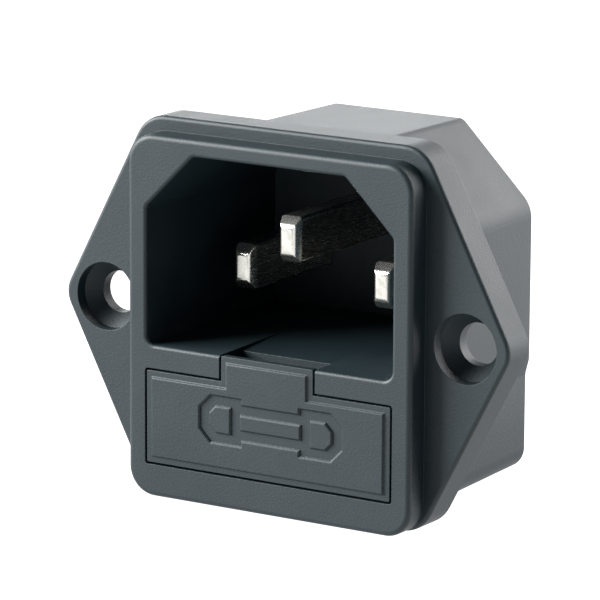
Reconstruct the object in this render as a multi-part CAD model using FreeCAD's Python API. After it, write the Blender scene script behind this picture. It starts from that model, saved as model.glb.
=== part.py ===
import FreeCAD, Part
import math
import os

# A three-pole mains inlet that screws to a panel, with a pull-out fuse drawer below its pins.
# Millimetres. X runs to the right seen from the front, Y from the front to the back, Z up.
# The origin is the middle of the flange's rear face, which seats on the panel between the two screws.

# Recess for the mains connector
opening_width = 24.6
opening_height = 16.8
opening_chamfer = 4.75
opening_lower_radius = 0.9
opening_upper_radius = 0.7
recess_depth = 19.85
lip_radius = 0.3
draft_angle = 1.0

# Bezel that frames the recess and the drawer
bezel_proud = 2.25
bezel_side_margin = 1.75
bezel_top_margin = 1.5
bezel_bottom_margin = 2.85
bezel_drop = 0.625
bezel_corner_radius = 2.5
bezel_edge_radius = 0.45

# Flange with an ear and a countersunk screw hole on each side
flange_thickness = 3.35
flange_margin = 1.25
flange_corner_radius = 3.2
flange_edge_radius = 0.35
hole_from_bezel = 3.85
hole_diameter = 3.7
countersink_diameter = 6.0
countersink_sunk = 1.1
ear_angle = 62.4
ear_rim = 0.94
ear_tip_radius = 2.4

# Body behind the panel
body_side_wall = 1.5
body_top_wall = 1.9
body_bottom_wall = 1.95
body_chamfer_wall = 0.75
body_top_radius = 1.0
body_side_radius = 2.6
body_bottom_radius = 2.0
body_ledge = 0.35
body_ledge_height = 1.3
body_ledge_radius = 2.0
body_back_chamfer = 0.35
recess_back_wall = 1.35

# Pins
pin_spacing = 14.0
pin_row_height = 6.15
earth_rise = 3.85
pin_width = 2.0
pin_height = 4.0
pin_edge_radius = 0.3
pin_tip_width = 1.4
pin_tip_height = 2.4
pin_tip_length = 0.9
pole_pin_length = 13.0
earth_pin_length = 16.8
pin_fit = 0.02

# Rear terminal tabs
tab_thickness = 0.8
tab_width = 4.8
tab_length = 7.5
tab_hole_diameter = 1.6
tab_hole_from_end = 3.0
tab_end_chamfer = 1.0

# Rivet that closes the line pin on its link
rivet_width = 1.2
rivet_height = 2.4
rivet_head_width = 2.0
rivet_head_height = 3.2
rivet_head_thickness = 0.5

# Cartridge fuse
fuse_length = 20.0
fuse_diameter = 5.2
glass_diameter = 4.7
glass_wall = 0.6
cap_length = 5.5
cap_end = 0.4
cap_fit = 0.02
wire_diameter = 0.2

# Fuse drawer
drawer_gap = 0.2
slide_gap = 0.35
drawer_plate = 2.0
drawer_wall = 1.2
drawer_floor = 1.05
drawer_corner_radius = 0.1
drawer_seat = 0.5
mouth_ledge = 0.3
fuse_end_room = 0.35
fuse_floor_room = 0.2
fuse_top_room = 1.05
spare_room = 0.6
partition = 1.0
fuse_partition_room = 0.25
saddle_width = 2.4
saddle_from_cap = 0.5
saddle_fit = 0.08
saddle_grip = 1.3
tail_reach = 2.9
crossbar_height = 2.0
finger_tab_width = 9.2
finger_lip = 0.7
finger_notch_depth = 3.4
finger_ramp_drop = 0.2
finger_ramp_end = 10.0
panel_margin = 0.52
panel_rise = 0.2
panel_edge = 0.12

# Snap tongue in each side wall of the drawer
tongue_height = 1.8
tongue_length = 6.0
tongue_slot = 0.5
tongue_bump_radius = 0.6
tongue_bump_rise = 0.25
tongue_bump_from_end = 1.2
notch_depth = 0.3
notch_room = 0.3

# Spring contacts behind the fuse
contact_gap = 0.1
contact_width = 3.6
contact_leaf = 0.5
contact_bow_radius = 4.5
contact_bow_half = 3.0
contact_room = 2.95
contact_slot_fit = 0.1
chamber_back_wall = 2.0
link_thickness = 0.8
link_width = 4.0
link_margin = 0.4

Vector = FreeCAD.Vector

# Places that follow from the sizes above, across the front
opening_half = opening_width / 2
fuse_bay_half = fuse_length / 2 + fuse_end_room
drawer_half = fuse_bay_half + drawer_wall
chamber_half = drawer_half + slide_gap
mouth_half = chamber_half + drawer_seat
bezel_half = max(opening_half, mouth_half) + bezel_side_margin
hole_x = bezel_half + hole_from_bezel
finger_tab_half = finger_tab_width / 2
finger_slot_half = finger_tab_half + drawer_gap

# Places up the front, stacked in a bezel whose middle lies a little below the screws
drawer_height = drawer_floor + fuse_floor_room + fuse_diameter + fuse_top_room
chamber_height = drawer_height + 2 * drawer_gap
mouth_height = chamber_height + 2 * mouth_ledge
bezel_height = bezel_top_margin + opening_height + crossbar_height + mouth_height + bezel_bottom_margin
bezel_top = bezel_height / 2 - bezel_drop
opening_top = bezel_top - bezel_top_margin
opening_bottom = opening_top - opening_height
mouth_top = opening_bottom - crossbar_height
mouth_bottom = mouth_top - mouth_height
chamber_top = mouth_top - mouth_ledge
chamber_bottom = mouth_bottom + mouth_ledge
drawer_bottom = chamber_bottom + drawer_gap
drawer_top = drawer_bottom + drawer_height
fuse_z = drawer_bottom + drawer_floor + fuse_floor_room + fuse_diameter / 2
flange_half_height = bezel_top + flange_margin
pole_z = opening_bottom + pin_row_height
earth_z = pole_z + earth_rise

# Places from the front to the back
front = -flange_thickness - bezel_proud
recess_back = front + recess_depth
plate_back = front + drawer_plate
seat_y = plate_back + drawer_gap
partition_front = plate_back + fuse_diameter + spare_room
partition_back = partition_front + partition
fuse_y = partition_back + fuse_partition_room + fuse_diameter / 2
drawer_back = fuse_y + tail_reach
fuse_back = fuse_y + fuse_diameter / 2
chamber_back = fuse_back + contact_room
body_back = max(recess_back + recess_back_wall, chamber_back + chamber_back_wall)
tab_end = body_back + tab_length

# Body outline at the panel
body_half = max(opening_half, chamber_half) + body_side_wall
body_top = opening_top + body_top_wall
body_bottom = chamber_bottom - body_bottom_wall
body_chamfer = opening_chamfer + body_half - opening_half + body_top_wall - body_chamfer_wall * math.sqrt(2)
ledge_z = mouth_top

# Spring contacts, each behind the middle of a fuse cap
contact_x = (fuse_length - cap_length) / 2
leaf_apex = fuse_back + contact_gap
bow_centre = leaf_apex + contact_bow_radius
leg_z = fuse_z + contact_bow_half - contact_leaf
leg_front = bow_centre - math.sqrt(contact_bow_radius ** 2 - contact_bow_half ** 2)


def facing_front(a, b, depth):
    return Vector(a, depth, b)


def facing_side(a, b, depth):
    return Vector(depth, a, b)


def facing_up(a, b, depth):
    return Vector(a, b, depth)


def outline(corners, depth, place=facing_front):
    """Closed wire through (a, b, radius) corners, each rounded by an arc of its radius."""
    count = len(corners)
    arcs = []
    for i, (a, b, radius) in enumerate(corners):
        here = place(a, b, depth)
        towards_last = place(corners[i - 1][0], corners[i - 1][1], depth) - here
        towards_next = place(corners[(i + 1) % count][0], corners[(i + 1) % count][1], depth) - here
        towards_last.normalize()
        towards_next.normalize()
        half_angle = towards_last.getAngle(towards_next) / 2
        reach = radius / math.tan(half_angle)
        inwards = (towards_last + towards_next).normalize()
        middle = here + inwards * (radius / math.sin(half_angle) - radius)
        arcs.append((here + towards_last * reach, middle, here + towards_next * reach))
    edges = []
    for i, (start, middle, end) in enumerate(arcs):
        if corners[i][2] > 0:
            edges.append(Part.Arc(start, middle, end).toShape())
        edges.append(Part.LineSegment(end, arcs[(i + 1) % count][0]).toShape())
    return Part.Wire(edges)


def prism(corners, start, end, place=facing_front):
    """Straight solid of an outline between two depths."""
    return Part.Face(outline(corners, start, place)).extrude(place(0, 0, end - start))


def taper(start_corners, start, end_corners, end):
    """Flat-sided solid between two outlines of as many corners, its long edges rounded by their radii."""
    near = [facing_front(a, b, start) for a, b, _ in start_corners]
    far = [facing_front(a, b, end) for a, b, _ in end_corners]
    rings = [near, far]
    for i, corner in enumerate(near):
        rings.append([near[i - 1], corner, far[i], far[i - 1]])
    solid = Part.Solid(Part.Shell([Part.Face(Part.makePolygon(ring + ring[:1])) for ring in rings]))
    radii = [radius for _, _, radius in start_corners]
    for radius in sorted(set(radii) - {0}):
        ends = [(near[i], far[i]) for i in range(len(near)) if radii[i] == radius]
        solid = solid.makeFillet(radius, [edge_between(solid, a, b) for a, b in ends])
    return solid


def edge_between(shape, a, b):
    tolerance = 1e-6
    for edge in shape.Edges:
        points = [vertex.Point for vertex in edge.Vertexes]
        if all(min(point.distanceToPoint(end) for point in points) < tolerance for end in (a, b)):
            return edge


def block(x_range, y_range, z_range):
    size = [high - low for low, high in (x_range, y_range, z_range)]
    return Part.makeBox(size[0], size[1], size[2], Vector(x_range[0], y_range[0], z_range[0]))


def rectangle(middle, half_a, half_b, radius):
    a, b = middle
    return [(a - half_a, b - half_b, radius), (a + half_a, b - half_b, radius),
            (a + half_a, b + half_b, radius), (a - half_a, b + half_b, radius)]


def edges_at_depth(shape, y):
    tolerance = 1e-6
    return [edge for edge in shape.Edges if all(abs(vertex.Y - y) < tolerance for vertex in edge.Vertexes)]


def both_sides(piece):
    """The piece and its mirror image across the middle plane."""
    return [piece, piece.mirror(Vector(0, 0, 0), Vector(1, 0, 0))]


def join(pieces):
    return pieces[0].multiFuse(pieces[1:]).removeSplitter()


def recess_corners(inset):
    """Connector outline with its two upper corners cut off, drawn in by the inset."""
    half = opening_half - inset
    top = opening_top - inset
    bottom = opening_bottom + inset
    cut = opening_chamfer - inset * (2 - math.sqrt(2))
    upper = opening_upper_radius
    lower = opening_lower_radius
    return [(-half, bottom, lower), (half, bottom, lower), (half, top - cut, upper),
            (half - cut, top, upper), (-half + cut, top, upper), (-half, top - cut, upper)]


def body_corners(inset):
    """Body outline: cut upper corners, a ledge at the drawer's top and rounded lower corners."""
    half = body_half - inset
    lower_half = half - body_ledge
    top = body_top - inset
    bottom = body_bottom + inset
    cut = body_chamfer - inset * (2 - math.sqrt(2))
    ledge_bottom = ledge_z - body_ledge_height
    right = [(lower_half, bottom, body_bottom_radius), (lower_half, ledge_bottom, body_ledge_radius),
             (half, ledge_z, body_ledge_radius), (half, top - cut, body_side_radius),
             (half - cut, top, body_top_radius)]
    left = [(-x, z, radius) for x, z, radius in reversed(right)]
    return right + left


def flange_corners():
    """Six-sided flange whose slanted edges keep an even rim round the countersinks."""
    slope = math.radians(ear_angle)
    tip = hole_x + (countersink_diameter / 2 + ear_rim) / math.sin(slope)
    shoulder = tip - flange_half_height / math.tan(slope)
    upper = [(tip, 0, ear_tip_radius), (shoulder, flange_half_height, flange_corner_radius),
             (-shoulder, flange_half_height, flange_corner_radius)]
    return upper + [(-x, -z, radius) for x, z, radius in upper]


def screw_hole():
    """Through hole with a countersink that lets the screw's head lie below the flange's face."""
    hole_radius = hole_diameter / 2
    sink_radius = countersink_diameter / 2
    face = -flange_thickness
    cone_front = face + countersink_sunk
    cone_back = cone_front + sink_radius - hole_radius
    profile = [(0, face), (sink_radius, face), (sink_radius, cone_front), (hole_radius, cone_back),
               (hole_radius, 0), (0, 0)]
    points = [Vector(hole_x + radius, y, 0) for radius, y in profile]
    half_section = Part.Face(Part.makePolygon(points + points[:1]))
    return half_section.revolve(Vector(hole_x, 0, 0), Vector(0, 1, 0), 360)


def pin_corners(x, z, clearance=0.0):
    half_width = pin_width / 2 + clearance
    half_height = pin_height / 2 + clearance
    return rectangle((x, z), half_width, half_height, pin_edge_radius + clearance)


def spring_slot(x):
    """Slot through the back wall of the fuse chamber for the leg of a spring contact."""
    half = tab_width / 2 + contact_slot_fit
    return block((x - half, x + half), (chamber_back, body_back),
                 (leg_z - contact_slot_fit, leg_z + tab_thickness + contact_slot_fit))


def snap_notch():
    """Shallow groove in the chamber's wall where the drawer's snap bump rests."""
    middle = drawer_back - tongue_bump_from_end
    half_run = tongue_bump_radius + notch_room
    half_rise = tongue_height / 2 + notch_room
    return block((chamber_half, chamber_half + notch_depth), (middle - half_run, middle + half_run),
                 (fuse_z - half_rise, fuse_z + half_rise))


def finger_ramp(above_floor):
    """Shallow ramp in the recess's floor that leads a fingertip down to the drawer's tab."""
    ramp_top = opening_bottom + finger_ramp_end * math.tan(math.radians(draft_angle))
    low = opening_bottom - finger_ramp_drop
    seen_from_side = [(front, low, 0), (front + finger_notch_depth, low, 0),
                      (front + finger_ramp_end, ramp_top, 0), (front + finger_ramp_end, above_floor, 0),
                      (front, above_floor, 0)]
    return prism(seen_from_side, -finger_slot_half, finger_slot_half, facing_side)


def within_opening(point):
    return abs(point.x) <= opening_half and opening_bottom <= point.z <= opening_top


def housing():
    """One moulding: flange, bezel and body with the recess, the finger ramp and the fuse chamber."""
    flange = prism(flange_corners(), -flange_thickness, 0)
    flange = flange.makeFillet(flange_edge_radius, edges_at_depth(flange, -flange_thickness))
    bezel = prism(rectangle((0, -bezel_drop), bezel_half, bezel_height / 2, bezel_corner_radius), front, 0)
    bezel = bezel.makeFillet(bezel_edge_radius, edges_at_depth(bezel, front))
    back_inset = body_back * math.tan(math.radians(draft_angle))
    body = taper(body_corners(0), 0, body_corners(back_inset), body_back)
    body = body.makeChamfer(body_back_chamfer, edges_at_depth(body, body_back))
    shell = join([flange, bezel, body])
    shell = shell.cut(both_sides(screw_hole()))

    recess_inset = recess_depth * math.tan(math.radians(draft_angle))
    recess = taper(recess_corners(0), front, recess_corners(recess_inset), recess_back)
    shell = shell.cut(recess)
    lip = [edge for edge in edges_at_depth(shell, front) if within_opening(edge.CenterOfMass)]
    shell = shell.makeFillet(lip_radius, lip)

    mouth_middle = (0, (mouth_top + mouth_bottom) / 2)
    chamber_middle = (0, (chamber_top + chamber_bottom) / 2)
    mouth = prism(rectangle(mouth_middle, mouth_half, mouth_height / 2, drawer_corner_radius + drawer_gap),
                  front, seat_y)
    chamber = prism(rectangle(chamber_middle, chamber_half, chamber_height / 2, drawer_corner_radius),
                    seat_y, chamber_back)
    above_floor = opening_bottom + lip_radius + recess_inset
    finger_notch = block((-finger_slot_half, finger_slot_half), (front, front + finger_notch_depth),
                         (chamber_top, above_floor))
    shell = shell.cut([mouth, chamber, finger_notch, finger_ramp(above_floor)] + both_sides(snap_notch()))

    pin_slots = [prism(pin_corners(x, z, pin_fit), recess_back, body_back)
                 for x, z in ((-pin_spacing / 2, pole_z), (0, earth_z), (pin_spacing / 2, pole_z))]
    return shell.cut(pin_slots + both_sides(spring_slot(contact_x)))


def pin_blade(x, z, length):
    """Flat pin with a bevelled tip, from its tip to the body's back."""
    tip = recess_back - length
    bar = prism(pin_corners(x, z), tip, body_back)
    seen_from_side = bevel_corners(tip, z, pin_tip_height / 2, pin_height / 2)
    seen_from_above = [(a, y, 0) for y, a, _ in bevel_corners(tip, x, pin_tip_width / 2, pin_width / 2)]
    flanks = prism(seen_from_above, z - pin_height / 2, z + pin_height / 2, facing_up)
    ends = prism(seen_from_side, x - pin_width / 2, x + pin_width / 2, facing_side)
    return bar.common(flanks).common(ends)


def bevel_corners(tip, middle, tip_half, half):
    """Outline of a pin that widens over its tip's length and then runs straight back."""
    full = tip + pin_tip_length
    return [(tip, middle - tip_half, 0), (full, middle - half, 0), (body_back, middle - half, 0),
            (body_back, middle + half, 0), (full, middle + half, 0), (tip, middle + tip_half, 0)]


def tab_corners(middle, start):
    """Terminal tab outline with a bevelled end, running back from its start."""
    half = tab_width / 2
    return [(start, middle - half, 0), (tab_end - tab_end_chamfer, middle - half, 0),
            (tab_end, middle - half + tab_end_chamfer, 0), (tab_end, middle + half - tab_end_chamfer, 0),
            (tab_end - tab_end_chamfer, middle + half, 0), (start, middle + half, 0)]


def terminal_pin(x, z, length):
    """Pin whose rear end is flattened to an upright terminal tab."""
    half = tab_thickness / 2
    tab = prism(tab_corners(z, body_back), x - half, x + half, facing_side)
    hole_middle = Vector(x - half, tab_end - tab_hole_from_end, z)
    hole = Part.makeCylinder(tab_hole_diameter / 2, tab_thickness, hole_middle, Vector(1, 0, 0))
    return join([pin_blade(x, z, length), tab.cut(hole)])


def line_pin():
    """Line pin, closed behind the link by a rivet head."""
    x = pin_spacing / 2
    link_back = body_back + link_thickness
    shank = prism(rectangle((x, pole_z), rivet_width / 2, rivet_height / 2, 0), body_back, link_back)
    head = prism(rectangle((x, pole_z), rivet_head_width / 2, rivet_head_height / 2, pin_edge_radius),
                 link_back, link_back + rivet_head_thickness)
    return join([pin_blade(x, pole_z, pole_pin_length), shank, head])


def contact_spring(x):
    """Bowed leaf that presses on the fuse's end cap from behind."""
    lean = math.asin(contact_bow_half / contact_bow_radius)
    inner = contact_bow_radius - contact_leaf

    def on_bow(radius, angle):
        y = bow_centre - radius * math.cos(angle)
        return Vector(x - contact_width / 2, y, fuse_z + radius * math.sin(angle))

    outer_arc = Part.Arc(on_bow(contact_bow_radius, lean), on_bow(contact_bow_radius, 0),
                         on_bow(contact_bow_radius, -lean))
    inner_arc = Part.Arc(on_bow(inner, -lean), on_bow(inner, 0), on_bow(inner, lean))
    sides = [Part.LineSegment(on_bow(contact_bow_radius, -lean), on_bow(inner, -lean)),
             Part.LineSegment(on_bow(inner, lean), on_bow(contact_bow_radius, lean))]
    edges = [outer_arc.toShape(), sides[0].toShape(), inner_arc.toShape(), sides[1].toShape()]
    return Part.Face(Part.Wire(edges)).extrude(Vector(contact_width, 0, 0))


def contact_leg(x, end):
    """Flat leg that carries a leaf through the chamber's back wall."""
    half = contact_width / 2
    return block((x - half, x + half), (leg_front, end), (leg_z, leg_z + contact_leaf))


def line_link():
    """Strap from the line pin down to the leaf at the fuse's right end."""
    pin_x = pin_spacing / 2
    link_back = body_back + link_thickness
    left = min(pin_x, contact_x) - link_width / 2
    right = max(pin_x, contact_x) + link_width / 2
    strap = block((left, right), (body_back, link_back), (leg_z, pole_z + pin_height / 2 + link_margin))
    rivet_hole = prism(rectangle((pin_x, pole_z), rivet_width / 2 + pin_fit, rivet_height / 2 + pin_fit, 0),
                       body_back, link_back)
    return join([strap.cut(rivet_hole), contact_leg(contact_x, link_back), contact_spring(contact_x)])


def load_contact():
    """Leaf at the fuse's left end, running out at the back as a flat terminal tab."""
    x = -contact_x
    seen_from_above = [(a, y, 0) for y, a, _ in tab_corners(x, body_back)]
    tab = prism(seen_from_above, leg_z, leg_z + tab_thickness, facing_up)
    hole_middle = Vector(x, tab_end - tab_hole_from_end, leg_z)
    hole = Part.makeCylinder(tab_hole_diameter / 2, tab_thickness, hole_middle)
    return join([tab.cut(hole), contact_leg(x, body_back), contact_spring(x)])


def drawer_face_corners(inset, radius):
    """Drawer front with the finger tab that stands up into the crossbar's gap."""
    half = mouth_half - drawer_gap - inset
    bottom = mouth_bottom + drawer_gap + inset
    top = mouth_top - drawer_gap - inset
    right = [(half, bottom, radius), (half, top, radius), (finger_tab_half - inset, top, 0),
             (finger_tab_half - inset, opening_bottom - inset, radius)]
    left = [(-x, z, r) for x, z, r in reversed(right)]
    return right + left


def snap_tongue_slots():
    """Two slots that free a tongue in the drawer's side wall, open at the wall's rear end."""
    start = drawer_back - tongue_length
    low = fuse_z - tongue_height / 2
    high = fuse_z + tongue_height / 2
    x_range = (fuse_bay_half, drawer_half)
    return [block(x_range, (start, drawer_back), (low - tongue_slot, low)),
            block(x_range, (start, drawer_back), (high, high + tongue_slot))]


def snap_bump():
    """Rounded bump near the tongue's free end, cut from a cylinder that stands in the wall."""
    y = drawer_back - tongue_bump_from_end
    axis_x = drawer_half + tongue_bump_rise - tongue_bump_radius
    low = fuse_z - tongue_height / 2
    cylinder = Part.makeCylinder(tongue_bump_radius, tongue_height, Vector(axis_x, y, low))
    outside = block((drawer_half, drawer_half + tongue_bump_radius),
                    (y - tongue_bump_radius, y + tongue_bump_radius), (low, low + tongue_height))
    return cylinder.common(outside)


def fuse_saddle():
    """Open clip that grips the fuse's glass from the front, above and below."""
    end = fuse_length / 2 - cap_length - saddle_from_cap
    start = end - saddle_width
    arms = block((start, end), (partition_back, fuse_y + saddle_grip), (drawer_bottom, drawer_top))
    return arms.cut(along_fuse(glass_diameter / 2 + saddle_fit, start, end))


def fuse_drawer():
    """One moulding: front plate with a raised panel, spare-fuse pocket and clips for the working fuse."""
    plate = prism(drawer_face_corners(0, drawer_corner_radius), front, plate_back)
    behind_lip = block((-finger_tab_half, finger_tab_half), (front + finger_lip, plate_back),
                       (mouth_top - drawer_gap, opening_bottom))
    panel = taper(drawer_face_corners(panel_margin + panel_edge, 0), front - panel_rise,
                  drawer_face_corners(panel_margin, 0), front)
    width = (-drawer_half, drawer_half)
    height = (drawer_bottom, drawer_top)
    floor = block(width, (plate_back, drawer_back), (drawer_bottom, drawer_bottom + drawer_floor))
    divider = block(width, (partition_front, partition_back), height)
    wall = block((fuse_bay_half, drawer_half), (plate_back, drawer_back), height)
    wall = wall.cut(snap_tongue_slots()).fuse(snap_bump())
    pieces = [plate.cut(behind_lip), panel, floor, divider] + both_sides(wall) + both_sides(fuse_saddle())
    return join(pieces)


def along_fuse(radius, start, end):
    """Round bar on the fuse's axis between two places along X."""
    return Part.makeCylinder(radius, end - start, Vector(start, fuse_y, fuse_z), Vector(1, 0, 0))


def fuse_tube():
    half = fuse_length / 2 - cap_end
    outside = along_fuse(glass_diameter / 2, -half, half)
    return outside.cut(along_fuse(glass_diameter / 2 - glass_wall, -half, half))


def fuse_cap():
    end = fuse_length / 2
    cup = along_fuse(fuse_diameter / 2, end - cap_length, end)
    return cup.cut(along_fuse(glass_diameter / 2 + cap_fit, end - cap_length, end - cap_end))


def fuse_wire():
    half = fuse_length / 2 - cap_end
    return along_fuse(wire_diameter / 2, -half, half)


right_cap, left_cap = both_sides(fuse_cap())
nodes = {
    "housing": housing(),
    "earth_pin": terminal_pin(0, earth_z, earth_pin_length),
    "neutral_pin": terminal_pin(-pin_spacing / 2, pole_z, pole_pin_length),
    "line_pin": line_pin(),
    "line_link": line_link(),
    "load_contact": load_contact(),
    "fuse_drawer": fuse_drawer(),
    "fuse_tube": fuse_tube(),
    "fuse_cap_left": left_cap,
    "fuse_cap_right": right_cap,
    "fuse_wire": fuse_wire(),
}

os.makedirs("parts", exist_ok=True)
for name, shape in nodes.items():
    shape.exportStep("parts/" + name + ".step")
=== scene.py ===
import math
import bpy
from mathutils import Matrix, Vector


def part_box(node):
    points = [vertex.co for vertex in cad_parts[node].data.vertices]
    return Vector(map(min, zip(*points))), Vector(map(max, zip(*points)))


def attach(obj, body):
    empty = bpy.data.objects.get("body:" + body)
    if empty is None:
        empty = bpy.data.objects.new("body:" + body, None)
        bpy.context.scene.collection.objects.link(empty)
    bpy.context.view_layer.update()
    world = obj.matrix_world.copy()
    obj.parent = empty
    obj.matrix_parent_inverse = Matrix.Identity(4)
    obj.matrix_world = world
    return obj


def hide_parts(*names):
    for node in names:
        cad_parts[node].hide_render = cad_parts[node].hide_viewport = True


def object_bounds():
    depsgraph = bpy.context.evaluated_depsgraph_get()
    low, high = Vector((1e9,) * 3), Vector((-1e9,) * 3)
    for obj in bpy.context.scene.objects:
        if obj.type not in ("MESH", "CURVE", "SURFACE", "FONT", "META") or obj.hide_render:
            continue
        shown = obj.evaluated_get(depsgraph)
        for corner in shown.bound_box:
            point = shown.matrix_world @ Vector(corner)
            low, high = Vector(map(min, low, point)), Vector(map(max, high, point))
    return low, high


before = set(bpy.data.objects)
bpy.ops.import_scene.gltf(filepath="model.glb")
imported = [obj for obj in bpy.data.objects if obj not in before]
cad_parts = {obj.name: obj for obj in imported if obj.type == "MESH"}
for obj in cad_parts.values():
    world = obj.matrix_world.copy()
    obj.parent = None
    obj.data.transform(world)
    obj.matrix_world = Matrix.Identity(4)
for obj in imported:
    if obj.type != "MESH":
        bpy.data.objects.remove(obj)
cad_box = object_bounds()

MM = 0.001

# The camera: where it looks, how far off it stands and how far it is turned round, up and over.
LOOK_AT = Vector((3.070, -5.25, 2.659)) * MM
CAMERA_DISTANCE = 388.16 * MM
CAMERA_TURN = math.radians(32.428)
CAMERA_RISE = math.radians(12.689)
CAMERA_ROLL = math.radians(0.311)
CAMERA_LENS = 278.69
CAMERA_SENSOR = 36.0
CAMERA_NEAR = 10 * MM

# The studio, in metres and watts: a glowing white card, a faint sky and the softboxes,
# each with its place, the point it faces, its size and its power.
FLOOR_GAP = 0.05 * MM
FLOOR_SIZE = 4.0
FLOOR_GLOW = 1.25
SKY_GLOW = 0.15
PART = (0, 0, 0)
SOFTBOXES = {
    "key_left": ((-0.79, -0.46, 0.46), PART, (0.75, 0.6), 55.0),
    "rear_left": ((-0.6, 0.9, 0.22), PART, (0.9, 0.4), 8.0),
    "rear_right": ((0.55, 0.78, 0.27), PART, (1.6, 0.6), 20.0),
    "rear_high": ((0.25, 0.85, 0.62), PART, (0.7, 0.35), 5.0),
    # This one lies on the card behind the part and faces up, as a patch that the rear light catches.
    "card_glow": ((0.12, 0.165, -0.0158), (0.12, 0.165, 1.0), (0.2, 0.26), 0.24),
}

# Moulded nylon: its shades, its roughness, its pebble, its streaks of flow and its soft edges.
NYLON_DARK = "03141A"
NYLON_LIGHT = "06181D"
NYLON_GLOSSY = 0.5
NYLON_DULL = 0.6
PEBBLE = 0.18 * MM
PEBBLE_DEPTH = 0.05 * MM
FLOW_STREAK = 7.0 * MM
NYLON_EDGE = 0.08 * MM

# Plated metal: the lines that drawing left, the rubbed patches and how far the roughness strays.
DRAWN_LINE = 0.12 * MM
DRAWN_DEPTH = 0.01 * MM
RUBBED_PATCH = 0.6 * MM
ROUGHNESS_SPREAD = 0.1

# Drawn glass: the ripple along the tube.
RIPPLE = 0.8 * MM
RIPPLE_DEPTH = 0.02 * MM

# The fuse symbol sunk into the drawer's front: a groove that leaves two caps and a tube standing.
SYMBOL_RISE = 4.74 * MM
SYMBOL_SHIFT = 0.44 * MM
SYMBOL_DEPTH = 0.22 * MM
GROOVE_END = 7.1 * MM
GROOVE_END_HALF = 2.02 * MM
GROOVE_NECK = 3.05 * MM
GROOVE_NECK_HALF = 1.5 * MM
CAP_START = 3.95 * MM
CAP_END = 6.2 * MM
CAP_HALF = 1.22 * MM
TUBE_END = 3.07 * MM
TUBE_HALF = 0.7 * MM
GROOVE_CHAMFER = 1.1 * MM
CAP_CHAMFER = 0.7 * MM
SYMBOL_SINK = 0.1 * MM
SYMBOL_SLOPE = 0.15 * MM

# Broken and rounded edges, and the angles and lengths that tell an edge from a flat place.
MOULD_EDGE = 0.05 * MM
MOULD_STEPS = 2
MOULD_SHARP = math.radians(40)
TIP_ROUND = 0.3 * MM
TIP_STEPS = 4
SHARP = math.radians(30)
FLAT = math.radians(0.5)
TINY = 0.001 * MM


def colour(hex_value):
    """An sRGB hex value as the linear colour that a shader takes."""
    parts = [int(hex_value[i:i + 2], 16) / 255 for i in (0, 2, 4)]
    linear = [c / 12.92 if c <= 0.04045 else ((c + 0.055) / 1.055) ** 2.4 for c in parts]
    return (*linear, 1.0)


def add_node(tree, kind, settings=None, sockets=None, links=None, stops=()):
    """Adds a node with its settings, its socket values, its links, input name to (node, output name),
    and a ramp's stops, (position, hex)."""
    node = tree.nodes.new(kind)
    for name, value in (settings or {}).items():
        setattr(node, name, value)
    for name, value in (sockets or {}).items():
        node.inputs[name].default_value = value
    for name, (source, output) in (links or {}).items():
        tree.links.new(source.outputs[output], node.inputs[name])
    for i, (position, hex_value) in enumerate(stops):
        node.color_ramp.elements[i].position = position
        node.color_ramp.elements[i].color = colour(hex_value)
    return node


def new_material(name):
    material = bpy.data.materials.new(name)
    material.use_nodes = True
    material.node_tree.nodes.clear()
    return material, material.node_tree


def moulded_nylon(name):
    # Black nylon moulded in a spark-eroded tool: a cold black with a fine pebble that spreads the gloss
    # wide, and faint streaks where the melt flowed.
    material, tree = new_material(name)
    place = add_node(tree, "ShaderNodeTexCoord")
    pebble = add_node(tree, "ShaderNodeTexNoise",
                      sockets={"Scale": 1 / PEBBLE, "Detail": 3.0, "Roughness": 0.6},
                      links={"Vector": (place, "Object")})
    flow = add_node(tree, "ShaderNodeTexNoise",
                    sockets={"Scale": 1 / FLOW_STREAK, "Detail": 3.0, "Distortion": 0.8},
                    links={"Vector": (place, "Object")})
    tint = add_node(tree, "ShaderNodeValToRGB", links={"Fac": (flow, "Fac")},
                    stops=[(0.35, NYLON_DARK), (0.65, NYLON_LIGHT)])
    gloss = add_node(tree, "ShaderNodeMapRange", sockets={"To Min": NYLON_GLOSSY, "To Max": NYLON_DULL},
                     links={"Value": (flow, "Fac")})
    edge = add_node(tree, "ShaderNodeBevel", {"samples": 4}, {"Radius": NYLON_EDGE})
    grain = add_node(tree, "ShaderNodeBump", sockets={"Strength": 0.45, "Distance": PEBBLE_DEPTH},
                     links={"Height": (pebble, "Fac"), "Normal": (edge, "Normal")})
    plastic = add_node(tree, "ShaderNodeBsdfPrincipled", sockets={"IOR": 1.53, "Specular IOR Level": 0.36},
                       links={"Base Color": (tint, "Color"), "Roughness": (gloss, "Result"),
                              "Normal": (grain, "Normal")})
    add_node(tree, "ShaderNodeOutputMaterial", links={"Surface": (plastic, "BSDF")})
    return material


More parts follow.
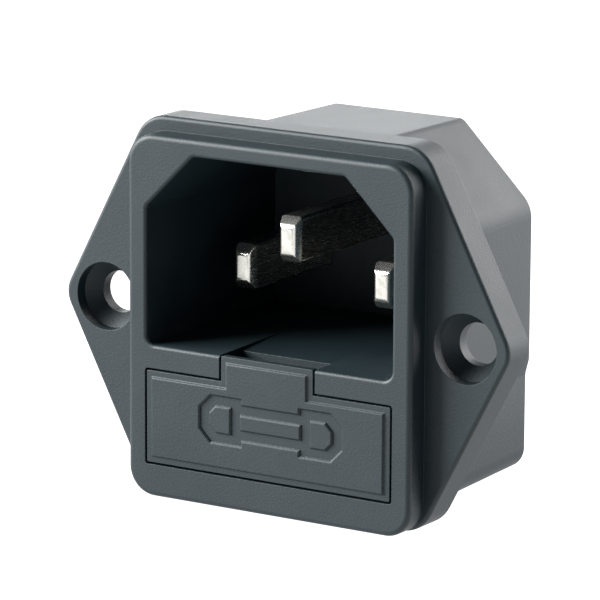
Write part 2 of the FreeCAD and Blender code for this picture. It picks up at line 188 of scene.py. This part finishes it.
def plated_metal(name, shade, worn, lay, dull, edge_size):
    # Nickel or tin over brass: a warm white mirror with soft edges, the faint lines that rolling and
    # drawing left in the metal, and slightly darker patches where it has been rubbed.
    material, tree = new_material(name)
    place = add_node(tree, "ShaderNodeTexCoord")
    stretch = add_node(tree, "ShaderNodeMapping", sockets={"Scale": lay}, links={"Vector": (place, "Object")})
    lines = add_node(tree, "ShaderNodeTexNoise", sockets={"Scale": 1 / DRAWN_LINE, "Detail": 3.0},
                     links={"Vector": (stretch, "Vector")})
    gloss = add_node(tree, "ShaderNodeMapRange",
                     sockets={"To Min": (1 - ROUGHNESS_SPREAD) * dull, "To Max": (1 + ROUGHNESS_SPREAD) * dull},
                     links={"Value": (lines, "Fac")})
    rubbed = add_node(tree, "ShaderNodeTexNoise", sockets={"Scale": 1 / RUBBED_PATCH, "Detail": 4.0},
                      links={"Vector": (place, "Object")})
    tint = add_node(tree, "ShaderNodeValToRGB", links={"Fac": (rubbed, "Fac")},
                    stops=[(0.36, worn), (0.5, shade)])
    edge = add_node(tree, "ShaderNodeBevel", {"samples": 8}, {"Radius": edge_size})
    scratch = add_node(tree, "ShaderNodeBump", sockets={"Strength": 0.05, "Distance": DRAWN_DEPTH},
                       links={"Height": (lines, "Fac"), "Normal": (edge, "Normal")})
    metal = add_node(tree, "ShaderNodeBsdfPrincipled", sockets={"Metallic": 1.0},
                     links={"Base Color": (tint, "Color"), "Roughness": (gloss, "Result"),
                            "Normal": (scratch, "Normal")})
    add_node(tree, "ShaderNodeOutputMaterial", links={"Surface": (metal, "BSDF")})
    return material


def drawn_glass(name):
    # Clear drawn glass tube: bright rims and a soft ripple along its length.
    material, tree = new_material(name)
    place = add_node(tree, "ShaderNodeTexCoord")
    stretch = add_node(tree, "ShaderNodeMapping", sockets={"Scale": (0.1, 1.0, 1.0)},
                       links={"Vector": (place, "Object")})
    ripple = add_node(tree, "ShaderNodeTexNoise", sockets={"Scale": 1 / RIPPLE, "Detail": 1.0},
                      links={"Vector": (stretch, "Vector")})
    wave = add_node(tree, "ShaderNodeBump", sockets={"Strength": 0.08, "Distance": RIPPLE_DEPTH},
                    links={"Height": (ripple, "Fac")})
    gloss = add_node(tree, "ShaderNodeMapRange", sockets={"To Min": 0.01, "To Max": 0.05},
                     links={"Value": (ripple, "Fac")})
    glass = add_node(tree, "ShaderNodeBsdfPrincipled",
                     sockets={"Base Color": colour("F2F8F7"), "IOR": 1.5, "Transmission Weight": 1.0},
                     links={"Roughness": (gloss, "Result"), "Normal": (wave, "Normal")})
    add_node(tree, "ShaderNodeOutputMaterial", links={"Surface": (glass, "BSDF")})
    return material


def dress(pieces, material):
    for piece in pieces:
        piece.data.materials.clear()
        piece.data.materials.append(material)


def select_only(piece):
    bpy.ops.object.select_all(action="DESELECT")
    piece.select_set(True)
    bpy.context.view_layer.objects.active = piece


def merged_copy(node, name):
    """A copy of a node's mesh with its triangles merged to whole faces."""
    piece = bpy.data.objects.new(name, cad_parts[node].data.copy())
    bpy.context.scene.collection.objects.link(piece)
    select_only(piece)
    bpy.ops.mesh.customdata_custom_splitnormals_clear()
    bpy.ops.object.mode_set(mode="EDIT")
    bpy.ops.mesh.select_all(action="SELECT")
    bpy.ops.mesh.remove_doubles(threshold=TINY)
    bpy.ops.mesh.dissolve_limited(angle_limit=FLAT)
    bpy.ops.object.mode_set(mode="OBJECT")
    return piece


def bevel_edges(piece, wanted, width, segments=1):
    """Bevels the sharp edges whose two ends pass a test of their places."""
    select_only(piece)
    bpy.ops.object.mode_set(mode="EDIT")
    bpy.ops.mesh.select_mode(type="EDGE")
    bpy.ops.mesh.select_all(action="DESELECT")
    bpy.ops.mesh.edges_select_sharp(sharpness=SHARP)
    bpy.ops.object.mode_set(mode="OBJECT")
    corners = piece.data.vertices
    chosen = [edge.index for edge in piece.data.edges
              if edge.select and wanted(*[corners[i].co for i in edge.vertices])]
    bpy.ops.object.mode_set(mode="EDIT")
    bpy.ops.mesh.select_all(action="DESELECT")
    bpy.ops.object.mode_set(mode="OBJECT")
    for index in chosen:
        piece.data.edges[index].select = True
    bpy.ops.object.mode_set(mode="EDIT")
    bpy.ops.mesh.bevel(offset=width, segments=segments, affect="EDGES")
    bpy.ops.object.mode_set(mode="OBJECT")


def smooth(piece):
    """Smooth shading that leaves the large faces flat."""
    select_only(piece)
    bpy.ops.object.shade_smooth_by_angle(angle=SHARP)
    flat = piece.modifiers.new("flat", "WEIGHTED_NORMAL")
    flat.keep_sharp = True
    bpy.ops.object.modifier_apply(modifier=flat.name)


def add_block(name, low, high, chamfer=0.0, side=0):
    """A block between two corners. A chamfer cuts the two corners off its left or right end."""
    bpy.ops.object.select_all(action="DESELECT")
    bpy.ops.mesh.primitive_cube_add(size=1.0, location=(low + high) / 2)
    block = bpy.context.object
    block.name = name
    block.scale = high - low
    bpy.ops.object.transform_apply(location=True, rotation=True, scale=True)
    if chamfer:
        end = high.x if side > 0 else low.x
        bevel_edges(block, lambda a, b: abs(a.x - end) + abs(b.x - end) + abs(a.z - b.z) < TINY, chamfer)
    return block


def carve(piece, tool, operation):
    cut = piece.modifiers.new("carve", "BOOLEAN")
    cut.object = tool
    cut.operation = operation
    cut.solver = "EXACT"
    select_only(piece)
    bpy.ops.object.modifier_apply(modifier=cut.name)
    bpy.data.objects.remove(tool)


def engraved_drawer():
    """The drawer with its moulded edges just broken and a fuse symbol with sloped walls sunk into its front."""
    drawer = merged_copy("fuse_drawer", "fuse_drawer_engraved")
    edge = drawer.modifiers.new("edge", "BEVEL")
    edge.width = MOULD_EDGE
    edge.segments = MOULD_STEPS
    edge.limit_method = "ANGLE"
    edge.angle_limit = MOULD_SHARP
    bpy.ops.object.modifier_apply(modifier=edge.name)

    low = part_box("fuse_drawer")[0]
    face = low.y
    floor = face + SYMBOL_DEPTH
    middle = low.z + SYMBOL_RISE

    def span(left, right, half, front, back):
        return (Vector((SYMBOL_SHIFT + left, front, middle - half)),
                Vector((SYMBOL_SHIFT + right, back, middle + half)))

    def sink(name, left, right, half, *chamfer):
        corners = span(left, right, half, face - SYMBOL_SINK, floor)
        carve(drawer, add_block(name, *corners, *chamfer), "DIFFERENCE")

    def stand(name, left, right, half, *chamfer):
        corners = span(left, right, half, face, floor + SYMBOL_SINK)
        carve(drawer, add_block(name, *corners, *chamfer), "UNION")

    def on_outline(place):
        across = abs(place.x - SYMBOL_SHIFT) < GROOVE_END + TINY
        upright = abs(place.z - middle) < GROOVE_END_HALF + TINY
        return across and upright and abs(place.y - face) < TINY

    sink("neck", -GROOVE_NECK, GROOVE_NECK, GROOVE_NECK_HALF)
    for side in (-1, 1):
        ends = sorted((side * (GROOVE_NECK - SYMBOL_SINK), side * GROOVE_END))
        sink("groove", *ends, GROOVE_END_HALF, GROOVE_CHAMFER, side)
        ends = sorted((side * CAP_START, side * CAP_END))
        stand("cap", *ends, CAP_HALF, CAP_CHAMFER, side)
    stand("tube", -TUBE_END, TUBE_END, TUBE_HALF)
    bevel_edges(drawer, lambda a, b: on_outline(a) and on_outline(b), SYMBOL_SLOPE)
    smooth(drawer)
    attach(drawer, "drawer")
    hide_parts("fuse_drawer")
    return drawer


def rounded_pin(node):
    """A pin with the edges of its tip rounded, as barrel plating leaves them."""
    pin = merged_copy(node, node + "_rounded")
    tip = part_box(node)[0].y
    bevel_edges(pin, lambda a, b: abs(a.y - tip) + abs(b.y - tip) < TINY, TIP_ROUND, TIP_STEPS)
    smooth(pin)
    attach(pin, "inlet")
    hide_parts(node)
    return pin


def add_camera():
    camera = bpy.data.objects.new("camera", bpy.data.cameras.new("camera"))
    bpy.context.scene.collection.objects.link(camera)
    back = Vector((math.sin(CAMERA_TURN) * math.cos(CAMERA_RISE),
                   -math.cos(CAMERA_TURN) * math.cos(CAMERA_RISE),
                   math.sin(CAMERA_RISE)))
    right = Vector((math.cos(CAMERA_TURN), math.sin(CAMERA_TURN), 0.0))
    up = back.cross(right)
    level = Matrix((right, up, back)).transposed()
    turned = level @ Matrix.Rotation(CAMERA_ROLL, 3, "Z")
    camera.matrix_world = Matrix.Translation(LOOK_AT + back * CAMERA_DISTANCE) @ turned.to_4x4()
    camera.data.lens = CAMERA_LENS
    camera.data.sensor_width = CAMERA_SENSOR
    camera.data.clip_start = CAMERA_NEAR
    bpy.context.scene.camera = camera


def add_floor():
    # White card: it glows by itself, so it shows an even white without a shadow.
    material, tree = new_material("white_card")
    card = add_node(tree, "ShaderNodeBsdfPrincipled",
                    sockets={"Base Color": colour("585858"), "Roughness": 0.9, "Specular IOR Level": 0.0,
                             "Emission Color": colour("FFFFFF"), "Emission Strength": FLOOR_GLOW})
    add_node(tree, "ShaderNodeOutputMaterial", links={"Surface": (card, "BSDF")})
    bpy.ops.object.select_all(action="DESELECT")
    bpy.ops.mesh.primitive_plane_add(size=FLOOR_SIZE, location=(0, 0, cad_box[0][2] - FLOOR_GAP))
    floor = bpy.context.object
    floor.name = "floor"
    floor.data.materials.append(material)


def add_softbox(name, place, target, size, power):
    lamp = bpy.data.lights.new(name, "AREA")
    lamp.shape = "RECTANGLE"
    lamp.size, lamp.size_y = size
    lamp.energy = power
    box = bpy.data.objects.new(name, lamp)
    bpy.context.scene.collection.objects.link(box)
    box.location = place
    box.rotation_euler = (Vector(target) - Vector(place)).to_track_quat("-Z", "Y").to_euler()


def add_light():
    world = bpy.data.worlds.new("studio")
    world.use_nodes = True
    world.node_tree.nodes.clear()
    sky = add_node(world.node_tree, "ShaderNodeBackground",
                   sockets={"Color": colour("FFFFFF"), "Strength": SKY_GLOW})
    add_node(world.node_tree, "ShaderNodeOutputWorld", links={"Surface": (sky, "Background")})
    bpy.context.scene.world = world
    for name, softbox in SOFTBOXES.items():
        add_softbox(name, *softbox)
    bpy.context.scene.view_settings.view_transform = "Standard"


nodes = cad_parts
dress([nodes["housing"]], moulded_nylon("black_moulded_nylon"))
dress([engraved_drawer()], moulded_nylon("black_moulded_nylon_drawer"))
dress([rounded_pin(node) for node in ("earth_pin", "neutral_pin", "line_pin")],
      plated_metal("bright_nickel_plate", shade="CECDC7", worn="BEBDB5", lay=(1.0, 0.05, 1.0), dull=0.27,
                   edge_size=0.1 * MM))
dress([nodes["line_link"], nodes["load_contact"]],
      plated_metal("tinned_brass_strip", shade="BFBAAD", worn="B3AC9D", lay=(1.0, 1.0, 0.08), dull=0.3,
                   edge_size=0.08 * MM))
dress([nodes["fuse_cap_left"], nodes["fuse_cap_right"]],
      plated_metal("pressed_nickel_cap", shade="D8D5CC", worn="CECABF", lay=(0.08, 1.0, 1.0), dull=0.22,
                   edge_size=0.15 * MM))
dress([nodes["fuse_wire"]],
      plated_metal("tinned_wire", shade="BDB8AE", worn="A9A296", lay=(0.05, 1.0, 1.0), dull=0.3,
                   edge_size=0.02 * MM))
dress([nodes["fuse_tube"]], drawn_glass("clear_drawn_glass"))
add_camera()
add_floor()
add_light()
